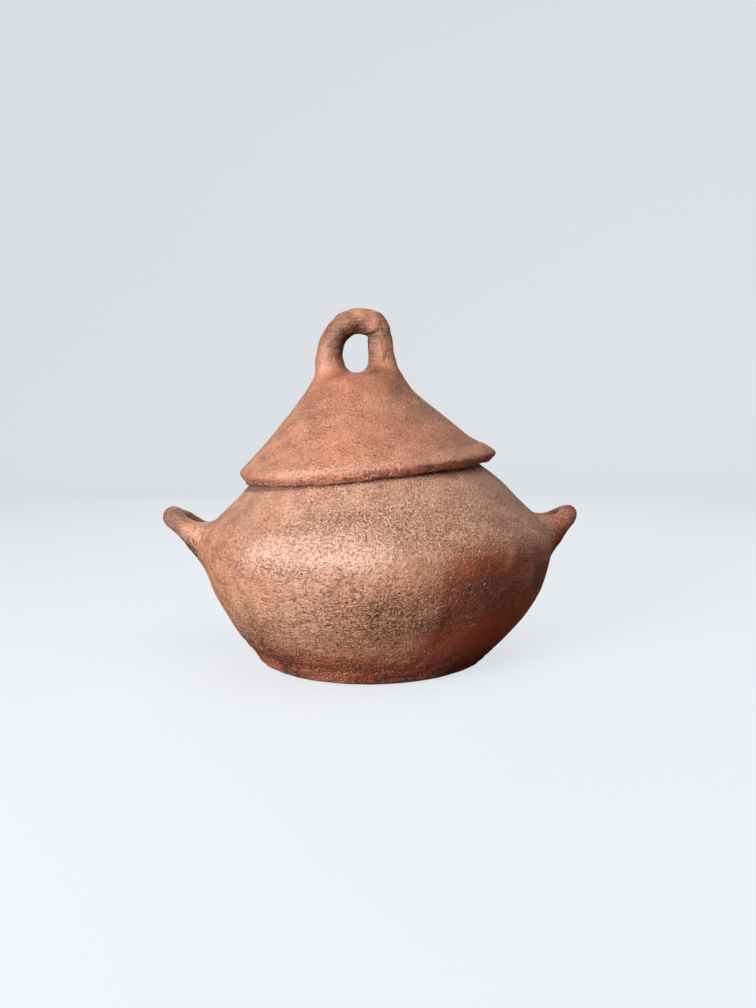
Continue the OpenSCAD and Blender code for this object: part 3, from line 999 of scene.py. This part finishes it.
class ClayPatterns:
    """The patterns that the clay's colour and its bump share, each from 0 to 1."""

    def __init__(self, g, mark):
        place = g.node("ShaderNodeTexCoord", {}, output=3)
        mm = g.stretched(place, (1000, 1000, 1000))
        self.mottle = g.noise(mm, 13, 4, 0.6)
        self.grain = g.noise(mm, 1.9, 3, 0.65)
        self.dust = g.noise(mm, 0.9, 2, 0.6)
        self.drag = g.noise(g.stretched(mm, (1, 1, 5)), 9, 3, 0.6)
        self.crumb = g.noise(g.stretched(mm, (1, 1, 1.7)), 1.45, 2, 0.6)
        self.crumbly = g.sum(mark["torn"], g.times(mark["sandy"], 0.65))
        gouge = g.noise(g.stretched(mm, (1, 1, 2.5)), 3.2, 5, 0.7)
        self.gouge = g.times(g.ramp(gouge, 0.56, 0.63), mark["torn"])
        self.coarse_grit, coarse_pale = g.grains(mm, 1.9, 0.45)
        self.fine_grit, fine_pale = g.grains(g.stretched(mm, (1, 1, -1)), 1.15, 0.55)
        self.pale_grit = g.sum(coarse_pale, g.times(fine_pale, 0.7))
        pit, _ = g.grains(g.stretched(mm, (-1, 1, 1)), 2.1, 0.35)
        open_share = g.sum(mark["torn"], g.times(mark["sandy"], 0.2))
        self.pit = g.times(pit, g.ramp(open_share, 0, 1, 0.12, 1))
        line = g.noise(g.stretched(mm, (1, 1, 1.7)), 9, 3, 0.55)
        line = g.sum(g.ramp(line, 0.47, 0.5), g.ramp(line, 0.5, 0.53), "SUBTRACT")
        self.crack = g.times(line, g.ramp(g.times(mark["torn"], mark["soot_and_shade"]), 0.15, 0.6))


def fired_colour(g, mark, see, light, dark, red, pale):
    """What the fire left: mottled clay, red and pale places, and soot; with a painted highlight on
    the sheen, and painted shade in the hollows and where the soot share carries it.
    """
    tone = g.sum(g.times(see.mottle, 0.55), g.times(see.grain, 0.45))
    colour = g.blend(g.ramp(tone, 0.40, 0.60), dark, light)
    reddened = g.times(mark["red"], g.ramp(tone, 0.3, 0.6, 0.6, 1))
    colour = g.blend(reddened, colour, red)
    chalk_and_sheen = g.blend(mark["red"], pale, OCHRE)
    char_and_shade = g.blend(mark["red"], SOOT_AND_SHADE, UMBER)
    # Pale places, and the painted highlight of the sheen.
    colour = g.blend(g.times(mark["pale"], g.ramp(see.grain, 0.35, 0.6, 0.25, 0.9)), colour, chalk_and_sheen)
    # Lighter where the relief stands out.
    standing_out = g.ramp(g.sum(mark["hollow"], g.times(see.grain, 0.5)), 0.62, 0.42)
    colour = g.blend(g.times(standing_out, 0.30), colour, chalk_and_sheen)
    # Soot clouds, and painted shade where the soot share carries it.
    smoke = g.sum(g.times(see.drag, 0.6), g.times(see.grain, 0.4))
    soot_and_shade_share = g.times(mark["soot_and_shade"], g.ramp(smoke, 0.30, 0.62, 0.25, 1))
    colour = g.blend(g.times(soot_and_shade_share, 0.85), colour, char_and_shade)
    # Painted shade in the hollows, darker the deeper they are.
    deep = g.ramp(g.sum(mark["hollow"], g.times(see.grain, 0.6)), 0.95, 1.35)
    colour = g.blend(g.times(deep, 0.7), colour, SHADE)
    return g.blend(g.times(mark["inside"], 0.35), colour, INNER), chalk_and_sheen


def broken_colour(g, mark, see, colour, chalk_and_sheen, grit_share):
    """What the scraper opened up: gouges, pits, crumbs, cracks and pale grit, with painted shade in
    the gouges, pits and cracks and between the crumbs.
    """
    colour = g.blend(g.times(see.gouge, 0.7), colour, SHADE)
    colour = g.blend(g.times(see.pit, 0.8), colour, SHADE)
    # Painted shade between the crumbs.
    crumb_shade = g.sum(g.times(mark["torn"], 0.62), g.times(mark["sandy"], 0.26))
    colour = g.blend(g.times(g.ramp(see.crumb, 0.47, 0.39), crumb_shade), colour, SHADE)
    fresh = g.blend(g.sum(mark["torn"], mark["red"], "SUBTRACT"), chalk_and_sheen, TORN_CLAY)
    raised = g.times(g.ramp(see.crumb, 0.54, 0.60), g.times(see.crumbly, 0.8))
    colour = g.blend(raised, colour, fresh)
    colour = g.blend(g.times(see.crack, 0.8), colour, SHADE)
    bare = g.ramp(g.sum(mark["sandy"], mark["smoothed"], "SUBTRACT"), -0.7, 1, 0.15, 1.1)
    return g.blend(g.times(g.times(see.pale_grit, grit_share), bare), colour, GRIT)


def clay_height(g, mark, see):
    """Height of what is finer than the mesh, for the bump."""
    loose = g.ramp(mark["sandy"], 0, 1, 0.3, 1)
    grit = g.sum(see.coarse_grit, g.times(see.fine_grit, 0.7))
    height = g.sum(g.times(see.grain, 0.55), g.times(see.dust, 0.3))
    height = g.sum(height, g.times(grit, g.times(loose, 0.7)))
    height = g.sum(height, g.times(g.times(see.drag, 0.6), g.ramp(mark["sandy"], 0, 1, 1, 0.2)))
    height = g.sum(height, g.times(see.crumb, g.times(see.crumbly, 1.4)))
    height = g.times(height, g.ramp(mark["torn"], 0, 1, 1, 1.4))
    height = g.sum(height, g.sum(g.times(see.gouge, -0.9), g.times(see.pit, -0.9)))
    height = g.sum(height, g.times(see.crack, -0.8))
    return g.times(height, g.ramp(mark["smoothed"], 0, 1, 1, 0.45))


def fired_clay(name, light, dark, red, pale, grit_share):
    """Coarse low-fired clay. Colours are those of the dry surface in plain light, with painted shade
    and a painted highlight mixed in.
    """
    g = Graph(name)
    mark = {field: g.field(field) for field in MARKS}
    see = ClayPatterns(g, mark)
    colour, chalk_and_sheen = fired_colour(g, mark, see, light, dark, red, pale)
    colour = broken_colour(g, mark, see, colour, chalk_and_sheen, grit_share)
    rough = g.sum(g.ramp(see.grain, 0.3, 0.7, 0.46, 0.60), g.times(mark["burnish"], -0.20))
    rough = g.sum(rough, g.times(mark["soot_and_shade"], 0.12))
    normal = g.node("ShaderNodeBump", {"Strength": 1.0, "Distance": BUMP_MM * MM,
                                       "Height": clay_height(g, mark, see)})
    g.shader.inputs["Specular IOR Level"].default_value = CLAY_SPECULAR
    g.tree.links.new(colour, g.shader.inputs["Base Color"])
    g.tree.links.new(rough, g.shader.inputs["Roughness"])
    g.tree.links.new(normal, g.shader.inputs["Normal"])
    return g.material


# ---- Floor, backdrop and light --------------------------------------------------------

FLOOR_MIDDLE_R = 0.3     # metres, as all lengths of the stage and the lamps
FLOOR_R = 1.6
BACKDROP_BEND = 0.7
BACKDROP_H = 3.2
LIT_H = 0.12
FLOOR_GLOW_STRENGTH = 0.91
FLOOR_SEEN = linear(124, 126, 128)
FLOOR_GLOW = linear(222, 226, 230)
LEATHER = linear(112, 68, 50)


def make_stage():
    """Pale floor that turns up into a round backdrop."""
    a = np.linspace(0, math.pi / 2, 16)
    turned_up = [(FLOOR_R + BACKDROP_BEND * math.sin(t), BACKDROP_BEND * (1 - math.cos(t)))
                 for t in a]
    profile = [(FLOOR_MIDDLE_R, 0)] + turned_up + [(FLOOR_R + BACKDROP_BEND, BACKDROP_H)]
    profile = np.array(profile) / MM
    grid = spun(profile, 0 * profile[:, 0], 96)
    rows, cols = grid.shape[:2]
    at = np.arange(rows * cols).reshape(rows, cols)
    nxt = np.roll(at, -1, 1)
    quads = np.stack([at[:-1], nxt[:-1], nxt[1:], at[1:]], -1).reshape(-1, 4).tolist()
    mesh = bpy.data.meshes.new("floor")
    mesh.from_pydata((grid.reshape(-1, 3) * MM).tolist(), [], quads + [at[0, ::-1].tolist()])
    mesh.polygons.foreach_set("use_smooth", [True] * len(mesh.polygons))
    floor = bpy.data.objects.new("floor", mesh)
    bpy.context.scene.collection.objects.link(floor)
    floor.data.materials.append(stage_paint())


def stage_paint():
    """Matt paint that looks pale, but throws no more light up at the pot than brown leather."""
    g = Graph("stage_paint")
    seen = g.node("ShaderNodeLightPath", {}, output=0)
    colour = g.blend(seen, LEATHER, FLOOR_SEEN)
    g.tree.links.new(colour, g.shader.inputs["Base Color"])
    g.tree.links.new(g.times(seen, FLOOR_GLOW_STRENGTH), g.shader.inputs["Emission Strength"])
    g.shader.inputs["Roughness"].default_value = 0.9
    g.shader.inputs["Specular IOR Level"].default_value = 0.1
    g.shader.inputs["Emission Color"].default_value = FLOOR_GLOW
    return g.material


def lamp(name, towards, distance, size, power, colour=(1, 1, 1), spread=180):
    """Soft lamp that stands in the given direction and faces the pot. spread is in degrees."""
    data = bpy.data.lights.new(name, "AREA")
    data.shape = "RECTANGLE"
    data.size, data.size_y = size
    data.spread = math.radians(spread)
    data.energy = power
    data.color = colour
    lit = Vector((0, 0, LIT_H))
    direction = Vector(towards).normalized()
    piece = bpy.data.objects.new(name, data)
    piece.location = lit + direction * distance
    piece.rotation_euler = direction.to_track_quat("Z", "Y").to_euler()
    piece.visible_camera = False
    bpy.context.scene.collection.objects.link(piece)


def make_light():
    lamp("window", towards=(-0.62, -0.78, 0.21), distance=1.3, size=(0.6, 0.7), power=8.1,
         colour=(1.0, 0.995, 0.99), spread=100)
    lamp("room", towards=(0.4, -0.45, 1.0), distance=1.5, size=(1.4, 1.4), power=11.5)
    lamp("bounce", towards=(0.9, 0.4, 0.35), distance=1.3, size=(0.7, 0.7), power=0.6,
         colour=(0.85, 0.93, 1.0), spread=100)
    lamp("behind", towards=(-0.1, 0.9, 0.4), distance=1.6, size=(1.2, 1.0), power=2,
         colour=(0.97, 0.99, 1.0), spread=100)
    world = bpy.data.worlds.new("studio")
    bpy.context.scene.world = world
    world.use_nodes = True
    background = world.node_tree.nodes["Background"]
    background.inputs["Color"].default_value = (0.9, 0.95, 1.0, 1)
    background.inputs["Strength"].default_value = 0.25


# ---- Scene ----------------------------------------------------------------------------

bpy.context.scene.view_settings.view_transform = "Standard"
make_camera()
make_stage()
make_light()

pot_clay = fired_clay("pot_clay", grit_share=0.85, **POT_COLOURS)
lid_clay = fired_clay("lid_clay", grit_share=0.7, **LID_COLOURS)
PIECES = [
    (make_pot, (), "pot_body", "pot", pot_clay),
    (make_handle, ("left",), "handle_left", "pot", pot_clay),
    (make_handle, ("right",), "handle_right", "pot", pot_clay),
    (make_lid, (), "lid_cone", "lid", lid_clay),
    (make_loop, (), "lid_loop", "lid", lid_clay),
]
for make, words, node, body, clay in PIECES:
    piece = make(*words)
    piece.data.materials.append(clay)
    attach(piece, body)
    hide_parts(node)
